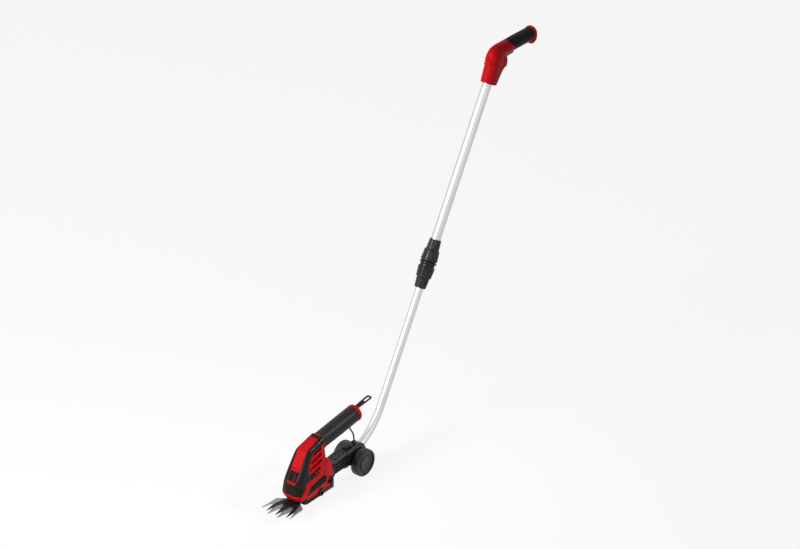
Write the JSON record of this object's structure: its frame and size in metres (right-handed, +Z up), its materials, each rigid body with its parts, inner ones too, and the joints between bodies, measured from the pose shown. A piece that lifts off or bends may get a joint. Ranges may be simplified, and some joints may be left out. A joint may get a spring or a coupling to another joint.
{
  "type": "cordless grass shears with wheeled telescopic handle",
  "caption": "Cordless grass shears with comb blades, on a small two-wheeled carriage with a bent telescopic pole, twist clamp and pistol handle.",
  "frame": {"origin": "centre of the flat underside of the sole plate, on the symmetry plane", "axes": "+X to the operator's left, -Y forward over the blades, +Z up, so the pole leans back toward +Y"},
  "size_m": [0.08, 0.938, 0.8717],
  "materials": {
    "black_plastic": "fine grained",
    "blade_steel": "ground",
    "board": "solder mask",
    "cell_wrap": "shrink wrap",
    "coated_blade": "low-friction coating",
    "frame_plastic": "moulded",
    "gear_nylon": "moulded",
    "grey_plastic": "fine grained",
    "lead_rubber": "smooth matt",
    "motor_steel": "plated can",
    "pinion_brass": "cut",
    "plain_steel": "zinc plated",
    "red_shell": "satin moulded, fine grain",
    "soft_grip": "soft matt",
    "spring_steel": "bright wire",
    "tube_aluminium": "satin drawn",
    "wheel_plastic": "moulded, slightly worn"
  },
  "bodies": {
    "shears_and_carriage": {"left_housing": "red_shell", "right_housing": "red_shell", "front_bezel": "grey_plastic", "top_panel": "red_shell", "left_side_plate": "black_plastic", "right_side_plate": "black_plastic", "grip_sleeve": "soft_grip", "end_collar": "red_shell", "hang_loop": "black_plastic", "trigger_switch": "black_plastic", "battery_cell": "cell_wrap", "circuit_board": "board", "lead_socket": "black_plastic", "motor": "motor_steel", "gear_pin": "plain_steel", "gear_frame": "frame_plastic", "sole_plate": "grey_plastic", "lower_blade": "blade_steel", "blade_bolt": "plain_steel", "housing_screws": "plain_steel", "left_carriage": "black_plastic", "right_carriage": "black_plastic", "axle": "plain_steel", "axle_clips": "plain_steel", "carriage_screws": "plain_steel", "signal_lead": "lead_rubber", "lead_plug": "lead_rubber", "lead_grommet": "lead_rubber", "lower_tube": "tube_aluminium", "guide_bush": "black_plastic", "trigger_spring": "spring_steel", "latch_spring": "spring_steel"},
    "upper_blade": {"upper_blade": "coated_blade"},
    "drive_gear": {"drive_gear": "gear_nylon"},
    "motor_pinion": {"motor_pinion": "pinion_brass"},
    "blade_release": {"blade_release": "black_plastic"},
    "trigger": {"trigger": "black_plastic"},
    "latch_button": {"latch_button": "black_plastic"},
    "left_wheel": {"left_wheel": "wheel_plastic", "left_hub_cap": "black_plastic"},
    "right_wheel": {"right_wheel": "wheel_plastic", "right_hub_cap": "black_plastic"},
    "upper_pole": {"upper_tube": "tube_aluminium", "clamp_collar": "black_plastic", "clamp_collet": "black_plastic", "left_handle": "red_shell", "right_handle": "red_shell", "handle_grip": "soft_grip", "handle_switch": "black_plastic", "handle_screws": "plain_steel", "handle_spring": "spring_steel"},
    "clamp_nut": {"clamp_nut": "black_plastic"},
    "handle_trigger": {"handle_trigger": "black_plastic"}
  },
  "joints": [
    {"name": "blade_swing", "type": "hinge", "parent": "shears_and_carriage", "child": "upper_blade", "pos_m": [0, -0.042, 0.007], "axis": [0, 0, 1], "range_deg": [-12.6, 5.4]},
    {"name": "gear_spin", "type": "hinge", "parent": "shears_and_carriage", "child": "drive_gear", "pos_m": [0, -0.02, 0.021], "axis": [0, 0, 1], "continuous": true},
    {"name": "pinion_spin", "type": "hinge", "parent": "shears_and_carriage", "child": "motor_pinion", "pos_m": [0, 0.00165, 0.021], "axis": [0, 0, 1], "continuous": true},
    {"name": "release_slide", "type": "slide", "parent": "shears_and_carriage", "child": "blade_release", "axis": [0, 0.5299, 0.8481], "range_m": [0, 0.005], "stiffness_N_per_m": 600},
    {"name": "trigger_press", "type": "slide", "parent": "shears_and_carriage", "child": "trigger", "axis": [0, -0.0958, 0.9954], "range_m": [0, 0.003], "stiffness_N_per_m": 1200, "deforming": ["trigger_spring"]},
    {"name": "latch_press", "type": "slide", "parent": "shears_and_carriage", "child": "latch_button", "axis": [0, 0, -1], "range_m": [0, 0.003], "stiffness_N_per_m": 1200, "deforming": ["latch_spring"]},
    {"name": "left_wheel_spin", "type": "hinge", "parent": "shears_and_carriage", "child": "left_wheel", "pos_m": [0.0265, 0.16, 0.0125], "axis": [1, 0, 0], "continuous": true},
    {"name": "right_wheel_spin", "type": "hinge", "parent": "shears_and_carriage", "child": "right_wheel", "pos_m": [-0.0265, 0.16, 0.0125], "axis": [1, 0, 0], "continuous": true},
    {"name": "telescope", "type": "slide", "parent": "shears_and_carriage", "child": "upper_pole", "axis": [0, 0.5, 0.866], "range_m": [-0.24, 0.1]},
    {"name": "clamp_twist", "type": "hinge", "parent": "upper_pole", "child": "clamp_nut", "pos_m": [0, 0.25896, 0.105], "axis": [0, 0.5, 0.866], "range_deg": [0, 90]},
    {"name": "handle_trigger_press", "type": "slide", "parent": "upper_pole", "child": "handle_trigger", "axis": [0, 0, 1], "range_m": [0, 0.003], "stiffness_N_per_m": 1200, "deforming": ["handle_spring"]}
  ],
  "couplings": [
    {"joint": "pinion_spin", "follows": "gear_spin", "ratio": -3.5}
  ]
}
